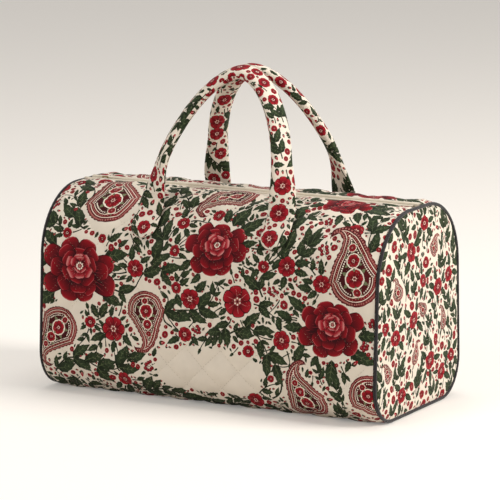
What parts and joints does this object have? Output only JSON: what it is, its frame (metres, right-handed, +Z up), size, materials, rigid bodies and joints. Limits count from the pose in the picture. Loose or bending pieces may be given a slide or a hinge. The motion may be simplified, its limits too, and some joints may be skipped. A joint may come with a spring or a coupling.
{
  "type": "quilted weekend bag",
  "caption": "Soft boxy weekend bag of quilted printed cotton with loaf-shaped piped ends, a full-length top zip and padded carry handles.",
  "frame": {"origin": "on the floor under the middle of the base", "axes": "+X along the bag towards its right end, -Y out of the front panel, +Z up"},
  "size_m": [0.48, 0.2438, 0.4185],
  "materials": {
    "printed_cotton": "cream cotton printed with red blooms, green leaves and paisleys, diamond quilted",
    "piping_cotton": "black cotton over cord",
    "binding_cotton": "plain cream cotton, folded",
    "zip_tape": "cream woven tape",
    "zip_teeth": "moulded cream teeth",
    "zip_metal": "satin antique brass",
    "base_board": "plain black board"
  },
  "bodies": {
    "bag": {"front_panel": "printed_cotton", "back_panel": "printed_cotton", "base_panel": "printed_cotton", "left_end_panel": "printed_cotton", "right_end_panel": "printed_cotton", "left_piping": "piping_cotton", "right_piping": "piping_cotton", "front_handle": "printed_cotton", "back_handle": "printed_cotton", "front_zip_binding": "binding_cotton", "back_zip_binding": "binding_cotton", "front_zip_tape": "zip_tape", "back_zip_tape": "zip_tape", "front_zip_teeth": "zip_teeth", "back_zip_teeth": "zip_teeth", "front_closed_stop": "zip_metal", "back_closed_stop": "zip_metal", "open_stop": "zip_metal", "base_board": "base_board"},
    "slider": {"zip_slider": "zip_metal"},
    "pull": {"zip_pull": "zip_metal"}
  },
  "joints": [
    {"name": "zip_slide", "type": "slide", "parent": "bag", "child": "slider", "axis": [1, 0, 0], "range_m": [0, 0.419], "deforming": ["front_zip_teeth", "back_zip_teeth"]},
    {"name": "pull_flip", "type": "hinge", "parent": "slider", "child": "pull", "pos_m": [-0.2097, 0, 0.2573], "axis": [0, -1, 0], "range_deg": [0, 170]}
  ]
}
